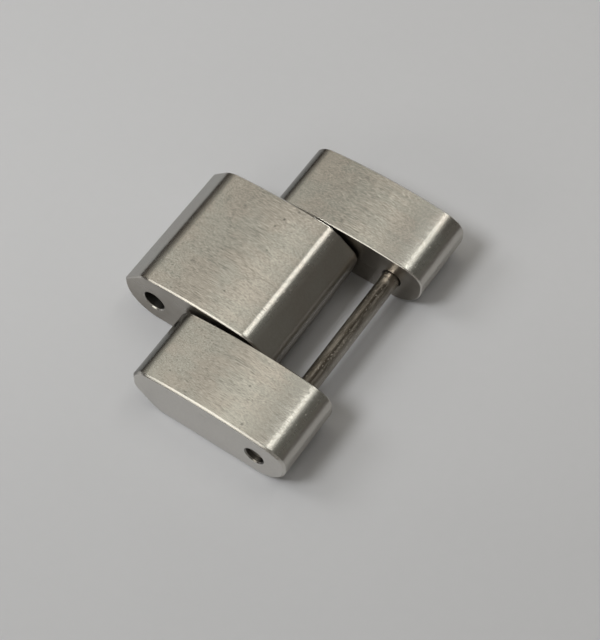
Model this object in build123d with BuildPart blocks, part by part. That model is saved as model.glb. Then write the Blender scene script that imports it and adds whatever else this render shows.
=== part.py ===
"""A three-row watch bracelet link: a centre link hinged between two side links, with its removable pin."""

import os
from math import sqrt

from build123d import *

# Frame: X runs along the bracelet, Y across it, Z out of its top. The origin lies on the underside,
# below the hinge pin, midway between the two ends and the two sides.

# Pins and rows
half_pitch = 4.5  # from each pin's axis to the next one along the bracelet
pin_height = 1.52  # of every pin's axis above the underside
end_reach = 1.75  # from an outermost pin's axis to the end of the link that it carries
centre_row_gap = 0.15  # to the next centre link of a straight bracelet
side_row_gap = 0.11  # to the next side link of a straight bracelet

# Across the bracelet
centre_link_width = 7.6
side_link_width = 4.06
side_play = 0.14  # between the centre link and each side link

# Heights and crown
side_link_height = 3.25
centre_rise = 0.25  # of the centre row's crown above the side rows'
crown_radius = 26.0
rim_chamfer = 0.1  # along every edge of the flat side faces

# Centre link's bevelled tip
centre_bevel = 1.13  # both along and down
centre_tip_round = 0.45
centre_crease_round = 1.2
centre_keel_share = 0.85  # of the tip corner's height, rounded into the underside

# Centre link's nose
centre_slope_length = 1.335
centre_slope_drop = 1.09
centre_shoulder_round = 1.55
centre_brow_round = 0.7
centre_face_height = 0.6  # of the upright face below the brow
centre_cheek_round = 1.2
centre_undercut = 0.43
centre_heel_round = 0.4

# Side links' round tip
side_tip_round = 1.08
side_keel_length = 1.29
side_keel_share = 0.425  # of the tip corner's height, cut back to the underside
side_keel_round = 0.8

# Side links' nose
side_slope_length = 0.76
side_slope_drop = 0.44
side_shoulder_round = 1.95
side_brow_round = 0.75
side_heel_share = 0.68  # of the brow corner's height, rounded into the underside

# Link pin and the holes that it passes
link_pin_diameter = 0.95
link_pin_recess = 0.25  # of each end below the side link's outer face
link_pin_chamfer = 0.08
link_hole_clearance = 0.03  # around the pin in the side links
link_bore_clearance = 0.13  # around a pin in the centre link's open bore
mouth_chamfer = 0.07

# Hinge pin, pressed into the side links
hinge_pin_diameter = 1.0
hinge_seat_depth = 2.5
hinge_seat_room = 0.1  # beyond each end of the pin
hinge_pin_chamfer = 0.1
hinge_clearance = 0.04  # around the pin in the centre link

# Places that follow from the sizes
inner_face = centre_link_width / 2 + side_play
outer_face = inner_face + side_link_width
centre_link_height = side_link_height + centre_rise
free_bore_x = -half_pitch
link_pin_x = half_pitch
centre_tip_x = free_bore_x - end_reach
centre_nose_x = half_pitch - end_reach - centre_row_gap
side_tip_x = end_reach + side_row_gap - half_pitch
side_nose_x = link_pin_x + end_reach


def crown_z(x, apex_x, height):
    """The crown's height at x, on a circle whose top is at apex_x."""
    return height - crown_radius + sqrt(crown_radius**2 - (x - apex_x) ** 2)


def rounded(outline, corners, rounds):
    """Rounds each corner of a profile by its own radius."""
    for corner, radius in zip(corners, rounds):
        fillet(outline.vertices().sort_by_distance(corner)[0], radius)


def bore_mouth(x, y, outward):
    """A plane on a side face at a pin's axis, with its normal out of the face."""
    return Plane(origin=(x, y, pin_height), z_dir=(0, outward, 0))


# Centre link's profile: crown, bevelled tip, round keel, flat underside, nose
centre_crease_x = centre_tip_x + centre_bevel
centre_shoulder_x = centre_nose_x - centre_slope_length
centre_apex_x = (centre_crease_x + centre_shoulder_x) / 2
centre_crease_z = crown_z(centre_crease_x, centre_apex_x, centre_link_height)
centre_shoulder_z = crown_z(centre_shoulder_x, centre_apex_x, centre_link_height)
centre_tip_z = centre_crease_z - centre_bevel
centre_brow_z = centre_shoulder_z - centre_slope_drop
centre_corners = [
    (centre_crease_x, centre_crease_z),
    (centre_tip_x, centre_tip_z),
    (centre_tip_x, 0),
    (centre_nose_x - centre_undercut, 0),
    (centre_nose_x, centre_brow_z - centre_face_height),
    (centre_nose_x, centre_brow_z),
    (centre_shoulder_x, centre_shoulder_z),
]
centre_rounds = [
    centre_crease_round,
    centre_tip_round,
    centre_keel_share * centre_tip_z,
    centre_heel_round,
    centre_cheek_round,
    centre_brow_round,
    centre_shoulder_round,
]

with BuildPart() as centre_link:
    with BuildSketch(Plane.XZ) as centre_outline:
        with BuildLine():
            Polyline(*centre_corners)
            ThreePointArc(centre_corners[-1], (centre_apex_x, centre_link_height), centre_corners[0])
        make_face()
        rounded(centre_outline, centre_corners, centre_rounds)
    extrude(amount=centre_link_width / 2, both=True)
    chamfer(centre_link.faces().filter_by(Axis.Y).edges(), length=rim_chamfer)

    # Open bore for the next link's pin, and the hinge pin's bore, drilled from both sides
    for x, radius in (
        (free_bore_x, link_pin_diameter / 2 + link_bore_clearance),
        (0, hinge_pin_diameter / 2 + hinge_clearance),
    ):
        for side in (1, -1):
            with Locations(bore_mouth(x, side * centre_link_width / 2, side)):
                CounterSinkHole(radius, radius + mouth_chamfer, centre_link_width / 2, 90)

# Side links' profile: crown, round tip, slanted keel, flat underside, round nose
side_shoulder_x = side_nose_x - side_slope_length
side_apex_x = (side_tip_x + side_nose_x) / 2
side_tip_z = crown_z(side_tip_x, side_apex_x, side_link_height)
side_shoulder_z = crown_z(side_shoulder_x, side_apex_x, side_link_height)
side_brow_z = side_shoulder_z - side_slope_drop
side_corners = [
    (side_tip_x, side_tip_z),
    (side_tip_x, side_keel_share * side_tip_z),
    (side_tip_x + side_keel_length, 0),
    (side_nose_x, 0),
    (side_nose_x, side_brow_z),
    (side_shoulder_x, side_shoulder_z),
]
side_rounds = [
    side_tip_round,
    side_keel_round,
    side_keel_round,
    side_heel_share * side_brow_z,
    side_brow_round,
    side_shoulder_round,
]
link_hole_radius = link_pin_diameter / 2 + link_hole_clearance


with BuildPart() as side_link_right:
    with BuildSketch(Plane.XZ.offset(inner_face)) as side_outline:
        with BuildLine():
            Polyline(*side_corners)
            ThreePointArc(side_corners[-1], (side_apex_x, side_link_height), side_corners[0])
        make_face()
        rounded(side_outline, side_corners, side_rounds)
    extrude(amount=side_link_width)
    chamfer(side_link_right.faces().filter_by(Axis.Y).edges(), length=rim_chamfer)

    # Through hole for the link pin, drilled from both faces
    for face_y, outward in ((-outer_face, -1), (-inner_face, 1)):
        with Locations(bore_mouth(link_pin_x, face_y, outward)):
            CounterSinkHole(link_hole_radius, link_hole_radius + mouth_chamfer, side_link_width / 2, 90)

    # Blind seat for the hinge pin, open to the inner face
    with Locations(bore_mouth(0, -inner_face, 1)):
        Hole(hinge_pin_diameter / 2, hinge_seat_depth)

with BuildPart() as side_link_left:
    mirror(side_link_right.part, about=Plane.XZ)

# Hinge pin, pressed into both side links and hidden by them
with BuildPart() as hinge_pin:
    with BuildSketch(Plane.XZ):
        with Locations((0, pin_height)):
            Circle(hinge_pin_diameter / 2)
    extrude(amount=inner_face + hinge_seat_depth - hinge_seat_room, both=True)
    chamfer(hinge_pin.faces().filter_by(Axis.Y).edges(), length=hinge_pin_chamfer)

# Link pin, which carries the next centre link and slides out through a side link
with BuildPart() as link_pin:
    with BuildSketch(Plane.XZ):
        with Locations((link_pin_x, pin_height)):
            Circle(link_pin_diameter / 2)
    extrude(amount=outer_face - link_pin_recess, both=True)
    chamfer(link_pin.faces().filter_by(Axis.Y).edges(), length=link_pin_chamfer)

centre_link.part.label = "centre_link"
side_link_right.part.label = "side_link_right"
side_link_left.part.label = "side_link_left"
hinge_pin.part.label = "hinge_pin"
link_pin.part.label = "link_pin"

os.makedirs("parts", exist_ok=True)
export_step(centre_link.part, "parts/centre_link.step")
export_step(side_link_right.part, "parts/side_link_right.step")
export_step(side_link_left.part, "parts/side_link_left.step")
export_step(hinge_pin.part, "parts/hinge_pin.step")
export_step(link_pin.part, "parts/link_pin.step")
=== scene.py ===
import math
from functools import reduce
from types import SimpleNamespace

import bpy
from bpy.props import FloatProperty, FloatVectorProperty, IntProperty, PointerProperty
from mathutils import Matrix, Quaternion, Vector


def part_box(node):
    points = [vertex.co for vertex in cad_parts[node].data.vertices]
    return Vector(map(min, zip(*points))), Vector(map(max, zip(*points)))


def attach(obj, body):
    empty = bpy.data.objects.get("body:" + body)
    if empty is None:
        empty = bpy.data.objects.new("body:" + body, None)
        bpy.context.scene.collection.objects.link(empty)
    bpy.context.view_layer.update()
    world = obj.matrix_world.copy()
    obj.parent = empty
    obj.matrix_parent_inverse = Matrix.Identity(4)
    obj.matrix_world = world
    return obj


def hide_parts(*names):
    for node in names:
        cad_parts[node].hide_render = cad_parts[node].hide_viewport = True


bl_info = {
    "name": "Bracelet Link",
    "version": (1, 0, 0),
    "blender": (4, 5, 0),
    "location": "View3D > Sidebar > Bracelet Link",
    "description": "Models a three-row watch bracelet link with its pins in brushed steel, and its stage",
    "category": "Add Mesh",
}

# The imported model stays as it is, and every piece here takes its place and reach from it
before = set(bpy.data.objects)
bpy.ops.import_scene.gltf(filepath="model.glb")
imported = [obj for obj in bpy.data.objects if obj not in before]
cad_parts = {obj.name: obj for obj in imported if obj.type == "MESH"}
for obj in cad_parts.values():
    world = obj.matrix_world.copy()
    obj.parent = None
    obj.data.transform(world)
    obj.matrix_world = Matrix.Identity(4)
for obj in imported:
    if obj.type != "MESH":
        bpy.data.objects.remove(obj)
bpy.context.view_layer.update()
CENTRE_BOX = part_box("centre_link")
RIGHT_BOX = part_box("side_link_right")
LEFT_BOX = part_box("side_link_left")
HINGE_PIN_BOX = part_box("hinge_pin")
LINK_PIN_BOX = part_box("link_pin")

# Pieces are shaped in millimetres and brought to metres at the end, so that small rounds stay exact
MM = 0.001

# The link pin's axis in millimetres, mirrored by the centre link's open bore and level with the hinge
PIN_X, PIN_Z = ((LINK_PIN_BOX[0][i] + LINK_PIN_BOX[1][i]) / 2 / MM for i in (0, 2))

# Names of the materials of the links and of the pins
LINK_MATERIAL, PIN_MATERIAL = "brushed_steel", "worn_pin"


def length(name, description, millimetres):
    """A length that a user may change, held in metres."""
    return FloatProperty(
        name=name,
        description=description,
        default=millimetres * MM,
        min=0.0,
        precision=5,
        unit="LENGTH",
        subtype="DISTANCE",
    )


def share(name, description, default, highest=1.0):
    """A plain number that a user may change."""
    return FloatProperty(name=name, description=description, default=default, min=0.0, max=highest)


def colour(name, description, default):
    """A linear colour that a user may change."""
    return FloatVectorProperty(
        name=name, description=description, default=default, size=3, min=0.0, max=1.0, subtype="COLOR"
    )


class CommonSizes(bpy.types.PropertyGroup):
    """Sizes that all the links share"""

    crown_radius: length("Crown radius", "Radius of every link's top along the bracelet", 26.0)
    rim_bend: FloatProperty(
        name="Rim bend", description="From 1, a flat chamfer, to 2, a full round", default=1.1, min=1.0, max=2.0
    )
    rim_steps: IntProperty(name="Rim steps", description="Strips across each rim", default=3, min=1, max=12)
    mouth: length("Bore mouth", "Chamfer at the mouth of each bore", 0.07)
    crown_steps: IntProperty(
        name="Crown steps", description="Strips that the crown is swept in", default=28, min=4, max=96
    )
    round_step: FloatProperty(
        name="Round step",
        description="Turn of each strip of a rounded corner",
        default=math.radians(4.5),
        min=math.radians(1.0),
        unit="ROTATION",
        subtype="ANGLE",
    )


class CentreLinkSizes(bpy.types.PropertyGroup):
    """Sizes of the centre link's profile and bores"""

    bevel: length("Tip bevel", "How far the tip's bevel reaches along and down", 1.13)
    tip_round: length("Tip round", "Radius below the tip's bevel", 0.45)
    crease_round: length("Crease round", "Radius between the crown and the tip's bevel", 1.2)
    keel_share: share("Keel share", "Keel's radius as a share of the tip corner's height", 0.85)
    slope_length: length("Slope length", "Length of the nose's slope along the bracelet", 1.335)
    slope_drop: length("Slope drop", "Drop of the nose's slope", 1.09)
    shoulder_round: length("Shoulder round", "Radius between the crown and the slope", 1.55)
    brow_round: length("Brow round", "Radius between the slope and the upright face", 0.7)
    face_height: length("Face height", "Height of the nose's upright face", 0.6)
    cheek_round: length("Cheek round", "Radius between the upright face and the undercut", 1.2)
    undercut: length("Undercut", "How far the nose draws back at the underside", 0.43)
    heel_round: length("Heel round", "Radius from the undercut into the underside", 0.4)
    rim: length("Rim", "Width of the broken edges round the side faces", 0.09)
    open_bore: length("Open bore", "Radius of the bore that the next link's pin passes", 0.605)
    hinge_bore: length("Hinge bore", "Radius of the bore round the hinge pin", 0.54)


class SideLinkSizes(bpy.types.PropertyGroup):
    """Sizes of the side links' profile and bores"""

    tip_round: length("Tip round", "Radius between the crown and the tip", 1.08)
    keel_length: length("Keel length", "Length of the slanted keel", 1.29)
    keel_share: share("Keel share", "Keel's height as a share of the tip corner's height", 0.425)
    keel_round: length("Keel round", "Radius at both ends of the keel", 0.8)
    slope_length: length("Slope length", "Length of the nose's slope along the bracelet", 0.76)
    slope_drop: length("Slope drop", "Drop of the nose's slope", 0.44)
    shoulder_round: length("Shoulder round", "Radius between the crown and the slope", 1.95)
    brow_round: length("Brow round", "Radius between the slope and the nose's end", 0.75)
    heel_share: share("Heel share", "Heel's radius as a share of the brow corner's height", 0.68)
    outer_rim: length("Outer rim", "Width of the broken edge round the outer face", 0.115)
    inner_rim: length("Inner rim", "Width of the broken edge round the inner face", 0.06)
    pin_hole: length("Pin hole", "Radius of the hole round the link pin", 0.505)
    seat: length("Seat", "Radius of the hinge pin's blind seat", 0.5)
    seat_depth: length("Seat depth", "Depth of the hinge pin's blind seat", 2.5)


class PinSizes(bpy.types.PropertyGroup):
    """Sizes of both pins"""

    link_chamfer: length("Link pin chamfer", "Chamfer at the link pin's ends", 0.08)
    hinge_chamfer: length("Hinge pin chamfer", "Chamfer at the hinge pin's ends", 0.1)


class SteelLook(bpy.types.PropertyGroup):
    """Colours and grain of the steel"""

    brushed: colour("Brushed steel", "Colour of the brushed tops", (0.64, 0.62, 0.58))
    brushed_cool: colour("Cool patches", "Colour of the cooler patches of the tops", (0.60, 0.62, 0.59))
    satin: colour("Satin steel", "Colour of the side faces", (0.62, 0.60, 0.565))
    # The dark brown of the dirt and painted shade between the rows, and of the painted shade at the undercuts, under
    # the rims and on the centre link's nose
    dirt_and_shade: colour("Soiled steel", "Colour of the faces between the rows", (0.30, 0.275, 0.24))
    # A dark brown used as painted shade in the bores and as a painted dark reflection along the pin
    painted_dark: colour("Grime", "Brown film in the bores", (0.05, 0.042, 0.034))
    pin: colour("Pin steel", "Colour of the worn pin", (0.28, 0.26, 0.23))
    pin_film: colour("Pin film", "Brown film on the pin", (0.125, 0.112, 0.093))
    # Also used for the painted glints on the scratches and the painted reflection on the pin's far side
    pin_clean_and_sheen: colour("Bright pin", "Colour of the pin where it is clean", (0.62, 0.58, 0.52))
    brushed_roughness: share("Brushed roughness", "Roughness of the brushed tops", 0.21)
    satin_roughness: share("Satin roughness", "Roughness of the side faces", 0.3)
    rim_roughness: share("Rim roughness", "Roughness of the broken edges round the side faces", 0.26)
    pin_roughness: share("Pin roughness", "Roughness of the worn pin", 0.4)
    groove: share("Groove slope", "How steeply the brush marks tilt the surface", 1.0, 2.0)


class StageLook(bpy.types.PropertyGroup):
    """Floor and camera"""

    floor: colour("Floor", "Colour of the floor", (0.735, 0.755, 0.794))
    lens: FloatProperty(
        name="Lens", description="Focal length", default=99.79, min=10.0, unit="CAMERA", subtype="DISTANCE"
    )


class BraceletLinkSettings(bpy.types.PropertyGroup):
    """All the settings of the bracelet link"""

    common: PointerProperty(type=CommonSizes, name="Common", description="Sizes shared by all the links")
    centre: PointerProperty(type=CentreLinkSizes, name="Centre link", description="Sizes of the centre link")
    side: PointerProperty(type=SideLinkSizes, name="Side links", description="Sizes of the side links")
    pins: PointerProperty(type=PinSizes, name="Pins", description="Sizes of the pins")
    steel: PointerProperty(type=SteelLook, name="Steel", description="Look of the steel")
    stage: PointerProperty(type=StageLook, name="Stage", description="Floor and camera")


# Sizes in millimetres


def millimetres(group):
    """The lengths of a property group in millimetres, and its other values as they are."""
    values = {}
    for name, prop in group.bl_rna.properties.items():
        if name in ("rna_type", "name"):
            continue
        value = getattr(group, name)
        values[name] = value / MM if getattr(prop, "unit", "") == "LENGTH" else value
    return SimpleNamespace(**values)


def box_in_mm(box):
    """A node's lowest and highest corners in millimetres."""
    return box[0] / MM, box[1] / MM


def crown_z(x, apex_x, height, radius):
    """The crown's height at x."""
    return height - radius + math.sqrt(radius**2 - (x - apex_x) ** 2)


def profile_point(corner):
    """A corner of the profile, given by x and z, as a point halfway across the bracelet."""
    return Vector((corner[0], 0.0, corner[1]))


# Modelling steps, each as by hand

# Millimetres between points that count as one, and from a profile corner to the edge picked for it
SAME_PLACE, CORNER_REACH = 0.002, 0.03
# Millimetres by which a block reaches past its link's ends, and a cutter past an open face
BLOCK_MARGIN, CUTTER_MARGIN = 1.0, 0.6
# Share of a block's height that only points of its underside lie below
UNDERSIDE_SHARE = 0.35
# Facets round a bore and round a pin, and strips across a pin's chamfer
BORE_SIDES, PIN_SIDES, CHAMFER_STEPS = 72, 96, 3
# Degrees between faces that count as one flat face, and between faces that are shaded as one
FLAT_ANGLE, SMOOTH_ANGLE = 0.1, 30.0
# How strongly large faces set the weighted normals, where 50 is neutral
NORMAL_WEIGHT = 80


def start_clean():
    """Leaves nothing selected, in object mode."""
    if bpy.context.object and bpy.context.object.mode != "OBJECT":
        bpy.ops.object.mode_set(mode="OBJECT")
    bpy.ops.object.select_all(action="DESELECT")


def only(piece):
    """Selects one piece and makes it active."""
    start_clean()
    piece.select_set(True)
    bpy.context.view_layer.objects.active = piece


def pick(piece, domain, test):
    """Selects, in edit mode, the elements whose vertex places all pass a test."""
    bpy.ops.mesh.select_all(action="DESELECT")
    bpy.ops.mesh.select_mode(type={"vertices": "VERT", "edges": "EDGE", "polygons": "FACE"}[domain])
    bpy.ops.object.mode_set(mode="OBJECT")
    mesh = piece.data
    found = False
    for item in getattr(mesh, domain):
        places = [item.co] if domain == "vertices" else [mesh.vertices[i].co for i in item.vertices]
        item.select = all(test(place) for place in places)
        found = found or item.select
    bpy.ops.object.mode_set(mode="EDIT")
    if not found:
        raise RuntimeError(f"{piece.name}: nothing to pick")


def cut_off(point, normal):
    """Cuts away all that lies on the normal's side of a plane, and closes the cut."""
    bpy.ops.mesh.select_all(action="SELECT")
    bpy.ops.mesh.bisect(
        plane_co=point, plane_no=normal, use_fill=True, clear_outer=True, threshold=SAME_PLACE / 10
    )


def meet_crown(corner, way, round_radius, apex_x, height, radius):
    """Where a round between the crown and a straight run leaves the crown, and the corner that it then rounds."""
    centre = Vector((apex_x, 0.0, height - radius))
    inward = Vector((-way.z, 0.0, way.x))
    # The round's centre slides along the run until the round touches the crown from within
    from_centre = profile_point(corner) + inward * round_radius - centre
    half, rest = from_centre.dot(way), from_centre.length_squared - (radius - round_radius) ** 2
    root = math.sqrt(half**2 - rest)
    step = min((root - half, -root - half), key=abs)
    out = (from_centre + way * step).normalized()
    leave = centre + out * radius
    along = Vector((out.z, 0.0, -out.x))
    # The crown's tangent at that point meets the straight run in the corner
    gap = profile_point(corner) - leave
    reach = (gap.x * way.z - gap.z * way.x) / (along.x * way.z - along.z * way.x)
    sharp = leave + along * reach
    return leave.x, along, (sharp.x, sharp.z)


def bevel(reach, strips):
    """Rounds the selected edges, by how far the round reaches and its number of strips."""
    bpy.ops.mesh.bevel(
        offset_type="OFFSET", offset=reach, segments=strips, profile=0.5, affect="EDGES", clamp_overlap=False
    )


def round_corner(piece, corner, before, after, radius, step):
    """Rounds the edge across the link at a profile corner, between the directions of its two runs."""
    turn = before.angle(after)
    pick(piece, "edges", lambda p: math.hypot(p.x - corner[0], p.z - corner[1]) < CORNER_REACH)
    bevel(radius * math.tan(turn / 2), max(2, round(turn / step)))


def crowned_block(name, crown, y_low, y_high, tip_x, nose_x):
    """A block with a flat underside and a crowned top, past both ends of its link."""
    start_x, end_x, apex_x, height, radius, steps = crown
    start_z = crown_z(start_x, apex_x, height, radius)
    middle = (start_x, (y_low + y_high) / 2, start_z / 2)
    start_clean()
    bpy.ops.mesh.primitive_plane_add(size=1.0, location=middle, rotation=(0.0, math.radians(90), 0.0))
    piece = bpy.context.object
    piece.name = piece.data.name = name
    bpy.ops.object.transform_apply(location=True, rotation=True, scale=True)
    bpy.ops.object.mode_set(mode="EDIT")
    bpy.ops.mesh.select_all(action="SELECT")
    bpy.ops.transform.resize(value=(1.0, y_high - y_low, start_z), center_override=middle)
    # The upright face is swept over the crown, then drawn out along both tangents
    lean = math.asin((apex_x - start_x) / radius)
    fall = math.asin((end_x - apex_x) / radius)
    bpy.ops.mesh.spin(
        steps=steps, angle=lean + fall, center=(apex_x, 0.0, height - radius), axis=(0.0, -1.0, 0.0)
    )
    nose_way = Vector((math.cos(fall), 0.0, -math.sin(fall))) * (nose_x - end_x + BLOCK_MARGIN)
    bpy.ops.mesh.extrude_region_move(TRANSFORM_OT_translate={"value": nose_way})
    pick(piece, "polygons", lambda p: abs(p.x - start_x) < SAME_PLACE)
    tip_way = Vector((-math.cos(lean), 0.0, -math.sin(lean))) * (start_x - tip_x + BLOCK_MARGIN)
    bpy.ops.mesh.extrude_region_move(TRANSFORM_OT_translate={"value": tip_way})
    # The underside is pressed flat
    pick(piece, "vertices", lambda p: p.z < height * UNDERSIDE_SHARE)
    bpy.ops.transform.resize(value=(1.0, 1.0, 0.0), center_override=(0.0, 0.0, 0.0))
    bpy.ops.mesh.select_all(action="SELECT")
    bpy.ops.mesh.remove_doubles(threshold=SAME_PLACE)
    bpy.ops.mesh.normals_make_consistent(inside=False)
    return piece


def draw_out_side(piece, y, reach, common):
    """Makes a side face whole, and draws it out with a broken edge all along its rim."""
    pick(piece, "polygons", lambda p: abs(p.y - y) < SAME_PLACE)
    bpy.ops.mesh.dissolve_faces()
    leans = [math.radians(90.0 * i / common.rim_steps) for i in range(common.rim_steps + 1)]
    power = 2.0 / common.rim_bend
    for lean, next_lean in zip(leans, leans[1:]):
        bpy.ops.mesh.inset(
            thickness=reach * (math.cos(lean) ** power - max(math.cos(next_lean), 0.0) ** power),
            depth=reach * (math.sin(next_lean) ** power - math.sin(lean) ** power),
            use_even_offset=True,
        )


def link_block(name, profile, apex_x, low, high, rims, common):
    """A link's solid block, from its profile's corners and rounds, which go from the crown's tip end to its nose."""
    corners, rounds = zip(*profile)
    # The directions of the profile's straight runs
    ways = [(profile_point(b) - profile_point(a)).normalized() for a, b in zip(corners, corners[1:])]
    circle = (apex_x, high.z, common.crown_radius)
    start_x, start_way, first = meet_crown(corners[0], ways[0], rounds[0], *circle)
    end_x, end_way, last = meet_crown(corners[-1], ways[-1], rounds[-1], *circle)
    corners = [first, *corners[1:-1], last]
    befores = [-start_way] + ways
    afters = ways + [-end_way]
    crown = (start_x, end_x, *circle, common.crown_steps)
    y_low, y_high = low.y + rims[0], high.y - rims[1]
    piece = crowned_block(name, crown, y_low, y_high, low.x, high.x)
    # The block is cut along the runs, except the underside, which is flat already
    for start, way in zip(corners, ways):
        if abs(start[1]) > SAME_PLACE or abs(way.z) > SAME_PLACE:
            cut_off(profile_point(start), Vector((way.z, 0.0, -way.x)))
    bpy.ops.mesh.select_all(action="SELECT")
    bpy.ops.mesh.dissolve_limited(angle_limit=math.radians(FLAT_ANGLE))
    for corner, before, after, radius in zip(corners, befores, afters, rounds):
        round_corner(piece, corner, before, after, radius, common.round_step)
    bpy.ops.mesh.select_all(action="SELECT")
    bpy.ops.mesh.remove_doubles(threshold=SAME_PLACE * 5)
    for y, reach in ((y_low, rims[0]), (y_high, rims[1])):
        draw_out_side(piece, y, reach, common)
    bpy.ops.object.mode_set(mode="OBJECT")
    return piece


def add_rod(x, z, radius, y_low, y_high, sides):
    """Adds a cylinder across the bracelet, open for editing."""
    start_clean()
    bpy.ops.mesh.primitive_cylinder_add(
        vertices=sides,
        radius=radius,
        depth=y_high - y_low,
        location=(x, (y_low + y_high) / 2, z),
        rotation=(math.radians(90), 0.0, 0.0),
    )
    bpy.ops.object.transform_apply(location=True, rotation=True, scale=True)
    bpy.ops.object.mode_set(mode="EDIT")
    return bpy.context.object


def drill(piece, x, z, radius, y_low, y_high, mouths, mouth):
    """Drills a bore across the link. Each of the mouths, +1 or -1 along Y, is open and chamfered."""
    low = y_low + mouth if -1 in mouths else y_low
    high = y_high - mouth if 1 in mouths else y_high
    cutter = add_rod(x, z, radius, low, high, BORE_SIDES)
    for way in mouths:
        end = high if way > 0 else low
        pick(cutter, "polygons", lambda p: abs(p.y - end) < SAME_PLACE)
        if mouth:
            bpy.ops.mesh.extrude_region_move(TRANSFORM_OT_translate={"value": (0.0, way * mouth, 0.0)})
            wider = (radius + mouth) / radius
            bpy.ops.transform.resize(value=(wider, 1.0, wider), center_override=(x, end + way * mouth, z))
        bpy.ops.mesh.extrude_region_move(TRANSFORM_OT_translate={"value": (0.0, way * CUTTER_MARGIN, 0.0)})
    bpy.ops.mesh.select_all(action="SELECT")
    bpy.ops.mesh.normals_make_consistent(inside=False)
    bpy.ops.object.mode_set(mode="OBJECT")
    only(piece)
    bpy.ops.object.modifier_add(type="BOOLEAN")
    bore = piece.modifiers[-1]
    bore.operation, bore.solver, bore.object = "DIFFERENCE", "EXACT", cutter
    bpy.ops.object.modifier_apply(modifier=bore.name)
    only(cutter)
    bpy.ops.object.delete()


def pin_rod(name, box, chamfer):
    """A pin across the bracelet, chamfered at both ends."""
    low, high = box_in_mm(box)
    middle = (low + high) / 2
    piece = add_rod(middle.x, middle.z, (high.x - low.x) / 2, low.y, high.y, PIN_SIDES)
    piece.name = piece.data.name = name
    for y in (low.y, high.y):
        pick(piece, "edges", lambda p: abs(p.y - y) < SAME_PLACE)
        bevel(chamfer, CHAMFER_STEPS)
    bpy.ops.object.mode_set(mode="OBJECT")
    return piece


def finish_piece(piece, material, node, body):
    """Brings a finished mesh to metres, smooths its rounds, gives it its material, ties it to its body and hides the
    node that it stands in for.
    """
    only(piece)
    bpy.ops.object.mode_set(mode="EDIT")
    bpy.ops.mesh.select_all(action="SELECT")
    bpy.ops.mesh.remove_doubles(threshold=SAME_PLACE / 4)
    bpy.ops.transform.resize(value=(MM, MM, MM), center_override=(0.0, 0.0, 0.0))
    bpy.ops.object.mode_set(mode="OBJECT")
    bpy.ops.object.shade_smooth_by_angle(angle=math.radians(SMOOTH_ANGLE))
    bpy.ops.object.modifier_add(type="WEIGHTED_NORMAL")
    weigh = piece.modifiers[-1]
    weigh.keep_sharp = True
    weigh.weight = NORMAL_WEIGHT
    bpy.ops.object.modifier_apply(modifier=weigh.name)
    piece.data.materials.clear()
    piece.data.materials.append(bpy.data.materials[material])
    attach(piece, body)
    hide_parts(node)
    start_clean()


# Shader maths


class Wire:
    """A socket of a node tree, which adds Math nodes when it is used in an expression."""

    def __init__(self, finish, socket):
        self.finish, self.socket = finish, socket

    def maths(self, operation, *values):
        return self.finish.node("ShaderNodeMath", {"operation": operation}, dict(enumerate(values)))

    def __add__(self, other):
        return self.maths("ADD", self, other)

    def __radd__(self, other):
        return self.maths("ADD", other, self)

    def __sub__(self, other):
        return self.maths("SUBTRACT", self, other)

    def __rsub__(self, other):
        return self.maths("SUBTRACT", other, self)

    def __mul__(self, other):
        return self.maths("MULTIPLY", self, other)

    def __rmul__(self, other):
        return self.maths("MULTIPLY", other, self)

    def __abs__(self):
        return self.maths("ABSOLUTE", self)

    def below(self, other):
        """1 where this is less than the other, 0 elsewhere."""
        return self.maths("LESS_THAN", self, other)

    def root(self):
        return self.maths("SQRT", self)

    def largest(self, other):
        return self.maths("MAXIMUM", self, other)

    def smallest(self, other):
        return self.maths("MINIMUM", self, other)


def swing(noise, amount):
    """How far a noise lies above or below its middle, times an amount."""
    return (noise - 0.5) * amount


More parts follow.
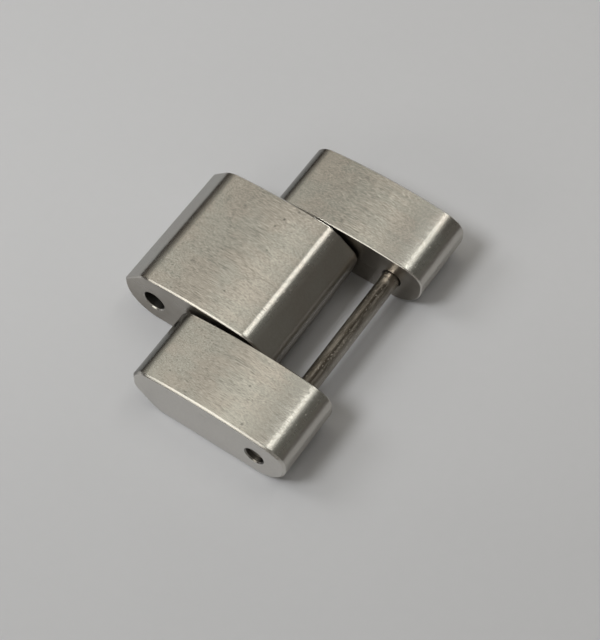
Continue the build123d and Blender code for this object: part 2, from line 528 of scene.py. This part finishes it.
class Finish:
    """A material or world in the making."""

    def __init__(self, owner):
        self.owner = owner
        owner.use_nodes = True
        self.tree = owner.node_tree
        self.tree.nodes.clear()

    def node(self, kind, settings=None, sockets=None, output=0):
        """Adds a node, sets its settings, then its sockets, and returns one of its outputs."""
        node = self.tree.nodes.new(kind)
        for name, value in (settings or {}).items():
            if name == "stops":
                ramp = node.color_ramp.elements
                while len(ramp) < len(value):
                    ramp.new(0.5)
                for element, (place, tint) in zip(ramp, value):
                    element.position = place
                    element.color = (*tint, 1.0)
            else:
                setattr(node, name, value)
        for name, value in (sockets or {}).items():
            socket = node.inputs[name]
            if isinstance(value, Wire):
                self.tree.links.new(value.socket, socket)
            elif socket.type == "RGBA":
                socket.default_value = (*value, 1.0)
            else:
                socket.default_value = value
        return Wire(self, node.outputs[output] if node.outputs else None)

    # Places, directions and their parts

    def place(self):
        """Places on the piece in millimetres, from its own object coordinates."""
        return self.vector("SCALE", self.node("ShaderNodeTexCoord", output="Object"), 1.0 / MM)

    def facing(self):
        """The surface's direction in the piece's own space."""
        normal = self.node("ShaderNodeNewGeometry", output="Normal")
        turn = {"vector_type": "NORMAL", "convert_from": "WORLD", "convert_to": "OBJECT"}
        return self.node("ShaderNodeVectorTransform", turn, {0: normal})

    def vector(self, how, first, second):
        """Adds, multiplies, scales or crosses two vectors."""
        second_name = "Scale" if how == "SCALE" else 1
        return self.node("ShaderNodeVectorMath", {"operation": how}, {0: first, second_name: second})

    def parts(self, vector):
        """The three parts of a vector."""
        split = self.node("ShaderNodeSeparateXYZ", {}, {0: vector})
        return [Wire(self, part) for part in split.socket.node.outputs]

    def grey(self, value):
        """A value as a vector of three alike."""
        return self.node("ShaderNodeCombineXYZ", {}, {0: value, 1: value, 2: value})

    def tilted(self, facing, leans):
        """The direction leaned along each of some vectors by its amount, in world space, for a Normal socket."""
        leaned = facing
        for way, amount in leans:
            leaned = self.vector("ADD", leaned, self.vector("SCALE", way, amount))
        turn = {"vector_type": "NORMAL", "convert_from": "OBJECT", "convert_to": "WORLD"}
        world = self.node("ShaderNodeVectorTransform", turn, {0: leaned})
        return self.node("ShaderNodeVectorMath", {"operation": "NORMALIZE"}, {0: world})

    # Patterns and masks

    def noise(self, place, scale, detail=2.0, roughness=0.5, turn=0.0, shift=(0.0, 0.0, 0.0)):
        """Soft noise about 0.5, so many times a millimetre along each axis, turned about Z and shifted."""
        mapped = self.node(
            "ShaderNodeMapping",
            {"vector_type": "POINT"},
            {0: place, "Scale": scale, "Rotation": (0.0, 0.0, turn), "Location": shift},
        )
        sockets = {"Vector": mapped, "Scale": 1.0, "Detail": detail, "Roughness": roughness}
        return self.node("ShaderNodeTexNoise", {"noise_dimensions": "3D"}, sockets, "Fac")

    def ease(self, value, low, high, start=0.0, end=1.0):
        """Goes smoothly from start to end while the value goes from low to high."""
        sockets = {"Value": value, "From Min": low, "From Max": high, "To Min": start, "To Max": end}
        settings = {"interpolation_type": "SMOOTHSTEP", "clamp": True}
        return self.node("ShaderNodeMapRange", settings, sockets)

    def away(self, first, second):
        """How far a place is from where both of its given parts are 0."""
        return (first * first + second * second).root()

    def near(self, x, y, spot, radius):
        """1 at a spot, given by two of the place's parts, and 0 from the radius outwards."""
        away = self.away(x - spot[0], y - spot[1])
        return self.ease(away, radius * 0.35, radius, 1.0, 0.0)

    # Colours and shaders

    def blend(self, factor, first, second):
        """Mixes two colours."""
        settings = {"data_type": "RGBA", "blend_type": "MIX", "clamp_factor": True}
        return self.node("ShaderNodeMix", settings, {0: factor, 6: first, 7: second}, 2)

    def bumped(self, height, strength, millimetres):
        """A Normal roughened by a height that goes from 0 to 1 over a distance."""
        sockets = {"Strength": strength, "Distance": millimetres * MM, "Height": height}
        return self.node("ShaderNodeBump", {}, sockets, "Normal")

    def surface(self, **sockets):
        """The Principled shader and the output."""
        named = {name.replace("_", " ").title(): value for name, value in sockets.items()}
        shader = self.node("ShaderNodeBsdfPrincipled", {}, named)
        self.node("ShaderNodeOutputMaterial", {}, {"Surface": shader})
        return self.owner


# Steel of the links

# Ranges of a face's direction along X in which tips, noses and their parts begin or end
TIP, NOSE, UNDERCUT = (-0.38, -0.6), (0.35, 0.6), (0.72, 0.95)
SLOPE_START, SLOPE_END = (0.25, 0.4), (0.85, 0.7)
SHOULDER_START, SHOULDER_END = (0.06, 0.14), (0.45, 0.3)
# The same along Z for tops, their flattest part and what faces down, and along Y for sides and rims
TOP, CROWN, DOWNWARD = (0.5, 0.9), (0.94, 0.99), (0.0, -0.4)
SIDE, RIM = (0.75, 0.97), (0.04, 0.2)
# Millimetres from the middle where side links begin, and within which side faces are darkened by dirt and painted
# shade
SIDE_LINK_START, INNER_REACH = (3.84, 3.9), (5.0, 4.5)
# Millimetres past a bore's radius that count as its wall and as its mouth
WALL_REACH, MOUTH_REACH = (0.02, 0.005), (0.1, 0.08)

# How far each kind of brush mark leans the surface, and the most that they lean it together
MARK_LEAN, NICK_LEAN, HAIR_LEAN, BAND_LEAN, MOST_LEAN = 0.22, 0.26, 0.8, 0.1, 0.2
# Shares of that lean everywhere, more of it on the tops, and still more on their flattest part
GRAIN, TOP_GRAIN, CROWN_GRAIN = 0.12, 0.5, 0.38
# Where flecks show in their noise, the way that they lean the slopes, and how far
FLECKED, FLECK_WAY, FLECK_LEAN = (0.62, 0.78), (-1.0, 0.0, 0.5), 0.12

# How much dirt and painted shade darken the inner side faces, and how much painted shade darkens the undercuts,
# rims' undersides and the centre link's nose
INNER_DIRT_AND_SHADE, UNDERCUT_SHADE, RIM_UNDERSIDE_SHADE, NOSE_SHADE = 0.85, 0.85, 0.8, 0.28
# How much that darkening varies on the inner faces and the nose, and how much less the side links' undercuts have
INNER_DIRT_AND_SHADE_SWING, NOSE_SHADE_SWING, SIDE_LINK_LESS = 0.9, 0.8, 0.6
# How much the tops' cool patches show, and how much painted shade darkens the bores' walls and mouths
COOL_SHARE, WALL_SHADE, MOUTH_SHADE = 0.6, 0.8, 0.6

# How much the marks lighten and darken the tops, and how much more the strongest of them do
MARK_SHADE, NICK_SHADE, BAND_SHADE, STRONG_SHADE = 0.25, 0.22, 0.15, 0.05
LIGHT_MARK, DARK_NICK = (0.56, 0.7), (0.56, 0.68)
# How much nicks speckle the shoulders, and clouds and mottle the steel, with more mottle at the sides
SHOULDER_SPECKLE, CLOUD_SHADE, MOTTLE_SHADE, SIDE_MOTTLE = 0.8, 0.1, 0.04, 0.14
# How much painted shade darkens the tips, standing in for their darker reflections, and how much more on the side
# links
TIP_PAINTED_SHADE, SIDE_TIP_PAINTED_SHADE = 0.35, 0.31

# Small dents on the tops, as places along and across the bracelet and radii, in millimetres
DENTS = (
    (-0.77, 3.55, 0.10),
    (-1.15, 2.78, 0.09),
    (-1.31, 2.19, 0.08),
    (-0.04, 3.63, 0.07),
    (-0.84, 0.82, 0.07),
    (-1.20, -2.27, 0.08),
    (2.75, -5.76, 0.09),
    (3.59, -7.60, 0.10),
    (-0.92, -7.14, 0.06),
)
# A faint scratch on the centre link's top, along a circle between two places across the bracelet
SCRATCH_MIDDLE, SCRATCH_RADIUS, SCRATCH_WIDTH = (0.3, -2.15), 1.5, (0.015, 0.05)
SCRATCH_START, SCRATCH_END = (-2.0, -1.8), (-0.4, -0.6)
DENT_DARK, SCRATCH_DARK = 0.3, 0.12

# How much marks and clouds vary the roughness, and how much rougher bores and noses are
MARK_ROUGH, CLOUD_ROUGH, WALL_ROUGH, NOSE_ROUGH = 0.12, 0.08, 0.2, 0.14


def link_areas(f, place, facing):
    """The parts of places and directions on a link, and masks of its areas."""
    x, y, z = f.parts(place)
    out_x, out_y, out_z = f.parts(facing)
    side = f.ease(abs(out_y), *SIDE)
    rim = f.ease(abs(out_y), *RIM) * (1.0 - side)
    top, crown = f.ease(out_z, *TOP), f.ease(out_z, *CROWN)
    nose, on_side_link = f.ease(out_x, *NOSE), f.ease(abs(y), *SIDE_LINK_START)
    areas = {"top": top, "crown": crown, "side": side, "rim": rim, "nose": nose, "on_side_link": on_side_link}
    return SimpleNamespace(x=x, y=y, z=z, out_x=out_x, out_z=out_z, **areas)


def brush_marks(f, place):
    """Brush marks along X, from broad bands to hairs too fine to see singly, and rounder patches and flecks."""
    return SimpleNamespace(
        band=f.noise(place, (0.3, 2.4, 2.4), shift=(7.0, 2.0, 0.0)),
        mark=f.noise(place, (0.3, 12.0, 12.0), detail=3.0, roughness=0.65, turn=0.02),
        nick=f.noise(place, (0.5, 24.0, 24.0), detail=1.0, turn=-0.02, shift=(0.0, 5.0, 2.0)),
        hair=f.noise(place, (3.0, 95.0, 95.0), detail=1.0, shift=(3.1, 0.0, 0.0)),
        clouds=f.noise(place, (0.5, 0.5, 0.5), shift=(1.0, 4.0, 2.0)),
        mottle=f.noise(place, (5.0, 7.0, 7.0), detail=3.0, roughness=0.65),
        fleck=f.ease(f.noise(place, (7.0, 9.0, 9.0), detail=3.0, shift=(9.0, 1.0, 3.0)), *FLECKED),
    )


def brushed_normal(f, facing, area, marks, groove):
    """The surface leaned sideways of the brush by its marks, and by flecks on the slopes, which catch the light."""
    sideways = f.vector("CROSS_PRODUCT", facing, (1.0, 0.0, 0.0))
    grain = swing(marks.mark, MARK_LEAN) + swing(marks.nick, NICK_LEAN)
    grain = grain + swing(marks.hair, HAIR_LEAN) + swing(marks.band, BAND_LEAN)
    grain = grain.largest(-MOST_LEAN).smallest(MOST_LEAN) * groove
    grain = grain * (GRAIN + TOP_GRAIN * area.top + CROWN_GRAIN * area.crown) * (1.0 - area.rim)
    slope = f.ease(area.out_x, *SLOPE_START) * f.ease(area.out_x, *SLOPE_END)
    return f.tilted(facing, ((sideways, grain), (FLECK_WAY, marks.fleck * slope * FLECK_LEAN)))


def dirt_and_shade_tint(f, area, marks, steel):
    """Brushed or satin steel with cooler patches, darkened between the rows by dirt and painted shade, and by
    painted shade at the undercuts, under the rims and on the centre link's nose.
    """
    inner = area.side * f.ease(abs(area.y), *INNER_REACH)
    # Painted shade: the undercuts, the rims' undersides and the centre link's nose are darkened where they reflect
    # the shaded floor and the dark room
    undercut = f.ease(area.out_x, *UNDERCUT) * (1.0 - area.on_side_link * SIDE_LINK_LESS)
    below = area.rim * f.ease(area.out_z, *DOWNWARD)
    centre_nose = area.nose * (1.0 - area.on_side_link)
    # The inner side faces are darkened by real smudges of dirt and by painted shade of the narrow gaps between the
    # rows
    dirt_and_shade = inner * (INNER_DIRT_AND_SHADE + swing(marks.clouds, INNER_DIRT_AND_SHADE_SWING))
    dirt_and_shade = dirt_and_shade.largest(undercut * UNDERCUT_SHADE).largest(below * RIM_UNDERSIDE_SHADE)
    dirt_and_shade = dirt_and_shade.largest(centre_nose * (NOSE_SHADE + swing(marks.mark, NOSE_SHADE_SWING)))
    cool = f.ease(marks.band * 0.25 + marks.clouds * 0.75, 0.4, 0.6)
    tint = f.blend(area.side, steel.brushed, steel.satin)
    tint = f.blend(cool * COOL_SHARE * area.top, tint, steel.brushed_cool)
    return f.blend(dirt_and_shade, tint, steel.dirt_and_shade)


def bore_areas(f, area, open_bore, pin_hole):
    """Masks of the walls of the bores at both ends, and of the chamfered mouths in the side links."""
    bore = pin_hole + (open_bore - pin_hole) * area.x.below(0.0)
    past_bore = f.away(abs(area.x) - PIN_X, area.z - PIN_Z) - bore
    wall = f.ease(past_bore, *WALL_REACH)
    mouth = f.ease(past_bore, *MOUTH_REACH) * (1.0 - area.side) * area.on_side_link
    return wall, mouth


def wear_and_painted_shade(f, area, marks):
    """How much lighter or darker the brush marks, dents and scratch make the steel, and how much painted shade
    darkens the tips.
    """
    on_top = area.top * (1.0 - area.rim)
    shoulder = f.ease(area.out_x, *SHOULDER_START) * f.ease(area.out_x, *SHOULDER_END)
    brushed = swing(marks.mark, MARK_SHADE) + swing(marks.nick, NICK_SHADE) + swing(marks.band, BAND_SHADE)
    strong = f.ease(marks.mark, *LIGHT_MARK) * STRONG_SHADE - f.ease(marks.nick, *DARK_NICK) * STRONG_SHADE
    shade = 1.0 + on_top * brushed
    shade = shade + on_top * (strong + shoulder * swing(marks.nick, SHOULDER_SPECKLE))
    shade = shade + swing(marks.clouds, CLOUD_SHADE)
    shade = shade + swing(marks.mottle, MOTTLE_SHADE + area.side * SIDE_MOTTLE)
    # Painted shade on the tips, standing in for their darker reflections
    shade = shade * (1.0 - f.ease(area.out_x, *TIP) * (TIP_PAINTED_SHADE + SIDE_TIP_PAINTED_SHADE * area.on_side_link))

    dent = reduce(Wire.largest, [f.near(area.x, area.y, (x, y), radius) for x, y, radius in DENTS])
    off_circle = abs(f.away(area.x - SCRATCH_MIDDLE[0], area.y - SCRATCH_MIDDLE[1]) - SCRATCH_RADIUS)
    scratch = f.ease(off_circle, *SCRATCH_WIDTH, 1.0, 0.0)
    scratch = scratch * f.ease(area.y, *SCRATCH_START) * f.ease(area.y, *SCRATCH_END)
    return shade * (1.0 - (dent * DENT_DARK).largest(scratch * SCRATCH_DARK) * area.crown)


def link_steel(steel, open_bore, pin_hole):
    """Brushed along the bracelet on the tops, satin and darkened by dirt and painted shade between the rows,
    polished at the rims.
    """
    f = Finish(bpy.data.materials.new(LINK_MATERIAL))
    place, facing = f.place(), f.facing()
    area, marks = link_areas(f, place, facing), brush_marks(f, place)
    wall, mouth = bore_areas(f, area, open_bore, pin_hole)
    tint = dirt_and_shade_tint(f, area, marks, steel)
    # Painted shade darkens the bores' walls and their chamfered mouths
    tint = f.blend((wall * WALL_SHADE).largest(mouth * MOUTH_SHADE), tint, steel.painted_dark)
    tint = f.vector("MULTIPLY", tint, f.grey(wear_and_painted_shade(f, area, marks)))
    rough = (
        steel.brushed_roughness
        + area.side * (steel.satin_roughness - steel.brushed_roughness)
        + area.rim * (steel.rim_roughness - steel.brushed_roughness)
        + swing(marks.mark, MARK_ROUGH)
        + swing(marks.clouds, CLOUD_ROUGH)
        + wall * WALL_ROUGH
        + area.nose * NOSE_ROUGH
    )
    normal = brushed_normal(f, facing, area, marks, steel.groove)
    return f.surface(base_color=tint, metallic=1.0, roughness=rough, normal=normal)


# Steel of the pins

# Range of a face's direction along Y in which a pin's flat ends give way to its round
PIN_ROUND = (0.5, 0.2)
# Millimetres across the bracelet at which the pin turns clean, and how far stains shift them
CLEAN_START, CLEAN_DRIFT = (3.1, 3.4), 0.8
# A line of scratches where the pin has turned in its holes, painted bright as glints, by a face's direction along X
# and by place
WORN_LINE, WORN_WIDTH, WORN_MIDDLE, WORN_REACH = 0.42, (0.26, 0.1), -0.7, (1.6, 0.9)
# A painted dark reflection beside it, how far it wanders, and where a painted reflection makes the pin's far side
# brighter
DARK_REFLECTION, DARK_WIDTH, DARK_DRIFT, BRIGHT_REFLECTION_SIDE = 0.17, (0.24, 0.08), 0.4, (0.45, 0.7)
# Where film, pits and painted glints show in their noises, and how much more a worn place glints
FILM, PITTED, GLINTS, WORN_GLINTS = (0.42, 0.58), (0.54, 0.64), (0.64, 0.72), 0.08
PIN_RELIEF = 0.04  # millimetres


def pin_steel(steel):
    """Drawn wire, dulled brown and scratched by use, clean near its far end, with a painted dark reflection along it
    and a painted brighter reflection on its far side.
    """
    f = Finish(bpy.data.materials.new(PIN_MATERIAL))
    place = f.place()
    _, y, _ = f.parts(place)
    out_x, out_y, _ = f.parts(f.facing())
    body = f.ease(abs(out_y), *PIN_ROUND)
    drawn = f.noise(place, (7.0, 0.7, 7.0), detail=4.0, roughness=0.7)
    rings = f.noise(place, (2.0, 12.0, 2.0), shift=(0.0, 3.0, 6.0))
    pits = f.noise(place, (7.0, 5.0, 7.0), detail=4.0, roughness=0.7, shift=(2.0, 5.0, 1.0))
    nicks = f.noise(place, (14.0, 8.0, 14.0), detail=1.0, shift=(6.0, 3.0, 8.0))
    stain = f.noise(place, (1.1, 0.55, 1.1), detail=3.0, shift=(4.0, 1.0, 0.0))

    clean = f.ease(y + swing(stain, CLEAN_DRIFT), *CLEAN_START) * body
    worn = f.ease(abs(out_x - WORN_LINE), *WORN_WIDTH) * f.ease(abs(y - WORN_MIDDLE + stain), *WORN_REACH)
    glint = f.ease(nicks + worn * WORN_GLINTS, *GLINTS) * body
    dark = f.ease(abs(out_x - DARK_REFLECTION - swing(drawn, DARK_DRIFT)), *DARK_WIDTH)

    tint = f.blend(f.ease(drawn * 0.6 + stain * 0.4, *FILM), steel.pin, steel.pin_film)
    tint = f.blend(f.ease(pits, *PITTED) * 0.6, tint, steel.pin_film)
    # Painted reflections: a dark band along the pin, and its far side brighter
    tint = f.blend(dark * 0.85, tint, steel.painted_dark)
    tint = f.blend(f.ease(out_x, *BRIGHT_REFLECTION_SIDE) * 0.35, tint, steel.pin_clean_and_sheen)
    # Painted glints on the scratches go towards bright steel, along with the clean far end and the pin's ends
    bright = (glint * 0.7).largest(clean * 0.6).largest((1.0 - body) * 0.3)
    tint = f.blend(bright, tint, steel.pin_clean_and_sheen)
    rough = steel.pin_roughness + swing(pits, 0.3) - clean * 0.1
    height = swing(drawn, 0.8) + swing(pits, 0.6) + swing(nicks, 0.3) + swing(rings, 0.6)
    height = height * body * (1.0 - clean * 0.7)
    return f.surface(base_color=tint, metallic=1.0, roughness=rough, normal=f.bumped(height, 1.0, PIN_RELIEF))


# Floor, room and lamps

FLOOR_DROP = 0.01  # millimetres below the underside
# Painted shade darkens the floor along this way, between these millimetres, by this share, standing in for the
# lamps' falloff
FALLOFF_WAY, FALLOFF_REACH, FALLOFF = (0.56, -0.83), (-9.0, 24.0), 0.14
# How much clouds and tooth vary the paper's shade, and the tooth's height in millimetres and its strength
PAPER_CLOUDS, PAPER_TOOTH, TOOTH_HEIGHT, TOOTH_STRENGTH = 0.03, 0.02, 0.03, 0.3
PAPER_ROUGHNESS = 0.75

# The ceiling's brightness against a direction's share along X
CEILING_BANDS = (
    (-1.0, 0.04), (-0.78, 0.26), (-0.62, 0.48), (-0.5, 0.60), (-0.39, 0.46), (-0.27, 0.66), (-0.19, 0.92),
    (-0.12, 0.55), (-0.06, 0.34), (0.06, 0.28), (0.16, 0.25), (0.25, 0.06), (0.45, 0.10), (1.0, 0.10),
)
# Shares along Y between which the ceiling dims away from the camera, from the first factor to the second
CEILING_DIMS = (0.25, 0.6, 1.36, 0.53)
# Shares along Z and Y between which the low room gives way to the ceiling
CEILING_START, CEILING_FRONT = (0.12, 0.5), (-0.3, 0.05)
CEILING_TINT, LOW_ROOM = (1.0, 0.94, 0.82), (0.058, 0.049, 0.041)
# Two pale walls, by their shares along Y, along X less Y, and upwards, and how much they show
BACK_WALL, RIGHT_WALL, WALL_FOOT, WALL_SHARE = (0.6, 0.9), (0.85, 1.2), (0.02, 0.15), 0.75
WALL_TINT = (0.35, 0.334, 0.31)

# Oval soft lamps: name, way from the link, distance, width and length in metres, watts, tint, turn in degrees
LAMPS = (
    ("key", (-0.34, -0.45, 0.83), 0.35, 0.11, 0.12, 0.385, (1.0, 0.99, 0.965), 0.0),
    ("window", (-0.72, -0.2, 0.66), 0.3, 0.12, 0.12, 0.145, (1.0, 0.99, 0.97), 0.0),
    ("ceiling", (0.145, 0.43, 0.89), 0.5, 0.13, 0.28, 0.15, (1.0, 0.96, 0.89), 38.0),
    ("low_window", (-0.3, -0.86, 0.4), 0.4, 0.22, 0.13, 0.14, (1.0, 0.97, 0.89), 0.0),
)

# The camera's angles in degrees, and the point that it looks at and its distance from it in millimetres
CAMERA_AZIMUTH, CAMERA_ELEVATION, CAMERA_ROLL = 34.34, 59.44, -0.10
CAMERA_TARGET, CAMERA_DISTANCE = (2.664, -1.444, 3.215), 85.435


def floor_paper(look):
    """Pale smooth paper with a faint tooth, and painted shade that darkens it a little towards the camera."""
    f = Finish(bpy.data.materials.new("floor_paper"))
    place = f.place()
    clouds = f.noise(place, (0.12, 0.12, 0.12), detail=3.0)
    tooth = f.noise(place, (1.6, 1.6, 1.6), detail=3.0)
    x, y, _ = f.parts(place)
    # Painted shade, standing in for the lamps' falloff towards the camera
    falloff = f.ease(x * FALLOFF_WAY[0] + y * FALLOFF_WAY[1], *FALLOFF_REACH, 0.0, FALLOFF)
    shade = 1.0 - falloff + swing(clouds, PAPER_CLOUDS) + swing(tooth, PAPER_TOOTH)
    tint = f.vector("MULTIPLY", look.floor, f.grey(shade))
    normal = f.bumped(tooth, TOOTH_STRENGTH, TOOTH_HEIGHT)
    return f.surface(base_color=tint, roughness=PAPER_ROUGHNESS, normal=normal)


def room_world():
    """A dim warm room whose ceiling is paler in bands across the bracelet, between two pale walls."""
    world = bpy.data.worlds.new("room")
    f = Finish(world)
    x, y, z = f.parts(f.node("ShaderNodeTexCoord", output="Generated"))
    stops = [((place + 1.0) / 2.0, (level, level, level)) for place, level in CEILING_BANDS]
    level = f.node("ShaderNodeValToRGB", {"stops": stops}, {0: x * 0.5 + 0.5})
    level = level * f.ease(y, *CEILING_DIMS)
    high = f.ease(z, *CEILING_START) * f.ease(y, *CEILING_FRONT)
    tint = f.blend(high, LOW_ROOM, f.vector("SCALE", CEILING_TINT, level))
    # Walls behind and to the front right, out of what the links reflect to the camera
    walls = f.ease(y, *BACK_WALL).largest(f.ease(x - y, *RIGHT_WALL)) * f.ease(z, *WALL_FOOT)
    tint = f.blend(walls * WALL_SHARE, tint, WALL_TINT)
    light = f.node("ShaderNodeBackground", {}, {"Color": tint, "Strength": 1.0})
    f.node("ShaderNodeOutputWorld", {}, {"Surface": light})
    return world


def add_floor(look):
    """Lays the paper under the link."""
    start_clean()
    bpy.ops.mesh.primitive_plane_add(size=3.0, location=(0.0, 0.0, -FLOOR_DROP * MM))
    floor = bpy.context.object
    floor.name = floor.data.name = "floor"
    bpy.ops.object.transform_apply(location=True, rotation=True, scale=True)
    floor.data.materials.append(floor_paper(look))


def add_lamp(name, way, distance, width, length, power, tint, turn):
    """Adds an oval soft lamp that looks at the link, turned about its own axis."""
    start_clean()
    way = Vector(way).normalized()
    bpy.ops.object.light_add(type="AREA", location=way * distance)
    lamp = bpy.context.object
    lamp.name = lamp.data.name = name
    own_turn = Quaternion((0.0, 0.0, 1.0), math.radians(turn))
    lamp.rotation_euler = (way.to_track_quat("Z", "Y") @ own_turn).to_euler()
    lamp.data.shape = "ELLIPSE"
    lamp.data.size, lamp.data.size_y = width, length
    lamp.data.energy = power
    lamp.data.color = tint


def add_camera(look):
    """Sets the camera at the photograph's angle."""
    azimuth, elevation, roll = map(math.radians, (CAMERA_AZIMUTH, CAMERA_ELEVATION, CAMERA_ROLL))
    level = math.cos(elevation)
    back = Vector((math.sin(azimuth) * level, -math.cos(azimuth) * level, math.sin(elevation)))
    flat_right = Vector((0.0, 0.0, 1.0)).cross(back).normalized()
    flat_up = back.cross(flat_right)
    right = flat_right * math.cos(roll) + flat_up * math.sin(roll)
    up = flat_up * math.cos(roll) - flat_right * math.sin(roll)
    start_clean()
    bpy.ops.object.camera_add()
    camera = bpy.context.object
    camera.name = camera.data.name = "camera"
    turn = Matrix((right, up, back)).transposed().to_4x4()
    target, distance = Vector(CAMERA_TARGET) * MM, CAMERA_DISTANCE * MM
    camera.matrix_world = Matrix.Translation(target + back * distance) @ turn
    camera.data.lens = look.lens
    camera.data.sensor_width = 36.0
    camera.data.clip_start, camera.data.clip_end = 0.005, 10.0
    camera.data.dof.use_dof = False
    bpy.context.scene.camera = camera


# Operators


class BRACELET_OT_materials(bpy.types.Operator):
    """Makes the materials of the links and the pins"""

    bl_idname = "bracelet.materials"
    bl_label = "Materials"

    def execute(self, context):
        settings = context.scene.bracelet_link
        centre, side = millimetres(settings.centre), millimetres(settings.side)
        link_steel(settings.steel, centre.open_bore, side.pin_hole)
        pin_steel(settings.steel)
        return {"FINISHED"}


class BRACELET_OT_centre_link(bpy.types.Operator):
    """Models the centre link with its open bore and hinge bore"""

    bl_idname = "bracelet.centre_link"
    bl_label = "Centre Link"

    def execute(self, context):
        settings = context.scene.bracelet_link
        common, s = millimetres(settings.common), millimetres(settings.centre)
        low, high = box_in_mm(CENTRE_BOX)
        crease_x, shoulder_x = low.x + s.bevel, high.x - s.slope_length
        apex_x = (crease_x + shoulder_x) / 2
        crease_z = crown_z(crease_x, apex_x, high.z, common.crown_radius)
        shoulder_z = crown_z(shoulder_x, apex_x, high.z, common.crown_radius)
        tip_z, brow_z = crease_z - s.bevel, shoulder_z - s.slope_drop
        profile = (
            ((crease_x, crease_z), s.crease_round),
            ((low.x, tip_z), s.tip_round),
            ((low.x, 0.0), s.keel_share * tip_z),
            ((high.x - s.undercut, 0.0), s.heel_round),
            ((high.x, brow_z - s.face_height), s.cheek_round),
            ((high.x, brow_z), s.brow_round),
            ((shoulder_x, shoulder_z), s.shoulder_round),
        )
        piece = link_block("centre_link_body", profile, apex_x, low, high, (s.rim, s.rim), common)
        drill(piece, -PIN_X, PIN_Z, s.open_bore, low.y, high.y, (1, -1), common.mouth)
        drill(piece, 0.0, PIN_Z, s.hinge_bore, low.y, high.y, (1, -1), common.mouth)
        finish_piece(piece, LINK_MATERIAL, "centre_link", "centre_link")
        return {"FINISHED"}


class BRACELET_OT_side_links(bpy.types.Operator):
    """Models both side links with their pin holes and blind seats"""

    bl_idname = "bracelet.side_links"
    bl_label = "Side Links"

    def execute(self, context):
        settings = context.scene.bracelet_link
        common, s = millimetres(settings.common), millimetres(settings.side)
        for node, box, inner in (("side_link_right", RIGHT_BOX, 1), ("side_link_left", LEFT_BOX, -1)):
            low, high = box_in_mm(box)
            shoulder_x = high.x - s.slope_length
            apex_x = (low.x + high.x) / 2
            tip_z = crown_z(low.x, apex_x, high.z, common.crown_radius)
            shoulder_z = crown_z(shoulder_x, apex_x, high.z, common.crown_radius)
            brow_z = shoulder_z - s.slope_drop
            profile = (
                ((low.x, tip_z), s.tip_round),
                ((low.x, s.keel_share * tip_z), s.keel_round),
                ((low.x + s.keel_length, 0.0), s.keel_round),
                ((high.x, 0.0), s.heel_share * brow_z),
                ((high.x, brow_z), s.brow_round),
                ((shoulder_x, shoulder_z), s.shoulder_round),
            )
            rims = (s.outer_rim, s.inner_rim) if inner > 0 else (s.inner_rim, s.outer_rim)
            piece = link_block(node + "_body", profile, apex_x, low, high, rims, common)
            drill(piece, PIN_X, PIN_Z, s.pin_hole, low.y, high.y, (1, -1), common.mouth)
            seat_low, seat_high = (high.y - s.seat_depth, high.y) if inner > 0 else (low.y, low.y + s.seat_depth)
            drill(piece, 0.0, PIN_Z, s.seat, seat_low, seat_high, (inner,), 0.0)
            finish_piece(piece, LINK_MATERIAL, node, "side_links")
        return {"FINISHED"}


class BRACELET_OT_hinge_pin(bpy.types.Operator):
    """Models the pin that the centre link turns on"""

    bl_idname = "bracelet.hinge_pin"
    bl_label = "Hinge Pin"

    def execute(self, context):
        s = millimetres(context.scene.bracelet_link.pins)
        piece = pin_rod("hinge_pin_rod", HINGE_PIN_BOX, s.hinge_chamfer)
        finish_piece(piece, PIN_MATERIAL, "hinge_pin", "side_links")
        return {"FINISHED"}


class BRACELET_OT_link_pin(bpy.types.Operator):
    """Models the removable pin at the links' free ends"""

    bl_idname = "bracelet.link_pin"
    bl_label = "Link Pin"

    def execute(self, context):
        s = millimetres(context.scene.bracelet_link.pins)
        piece = pin_rod("link_pin_rod", LINK_PIN_BOX, s.link_chamfer)
        finish_piece(piece, PIN_MATERIAL, "link_pin", "link_pin")
        return {"FINISHED"}


class BRACELET_OT_stage(bpy.types.Operator):
    """Sets the floor, the room, the lamps and the camera"""

    bl_idname = "bracelet.stage"
    bl_label = "Stage"

    def execute(self, context):
        look = context.scene.bracelet_link.stage
        add_floor(look)
        context.scene.world = room_world()
        for lamp in LAMPS:
            add_lamp(*lamp)
        add_camera(look)
        context.scene.view_settings.view_transform = "Standard"
        return {"FINISHED"}


class BRACELET_PT_link(bpy.types.Panel):
    """Steps and settings of the bracelet link"""

    bl_idname = "BRACELET_PT_link"
    bl_label = "Bracelet Link"
    bl_space_type = "VIEW_3D"
    bl_region_type = "UI"
    bl_category = "Bracelet Link"

    def draw(self, context):
        for step in STEPS:
            self.layout.operator(step.bl_idname)
        settings = context.scene.bracelet_link
        for name in ("common", "centre", "side", "pins", "steel", "stage"):
            group = getattr(settings, name)
            box = self.layout.box()
            for prop in group.bl_rna.properties.keys():
                if prop not in ("rna_type", "name"):
                    box.prop(group, prop)


GROUPS = (CommonSizes, CentreLinkSizes, SideLinkSizes, PinSizes, SteelLook, StageLook, BraceletLinkSettings)
STEPS = (
    BRACELET_OT_materials,
    BRACELET_OT_centre_link,
    BRACELET_OT_side_links,
    BRACELET_OT_hinge_pin,
    BRACELET_OT_link_pin,
    BRACELET_OT_stage,
)


def register():
    for cls in (*GROUPS, *STEPS, BRACELET_PT_link):
        bpy.utils.register_class(cls)
    bpy.types.Scene.bracelet_link = PointerProperty(type=BraceletLinkSettings)


def unregister():
    del bpy.types.Scene.bracelet_link
    for cls in reversed((*GROUPS, *STEPS, BRACELET_PT_link)):
        bpy.utils.unregister_class(cls)


def main():
    register()
    for step in STEPS:
        group, name = step.bl_idname.split(".")
        result = getattr(getattr(bpy.ops, group), name)()
        if result != {"FINISHED"}:
            raise RuntimeError(f"{step.bl_idname} did not finish")


if __name__ == "__main__":
    main()
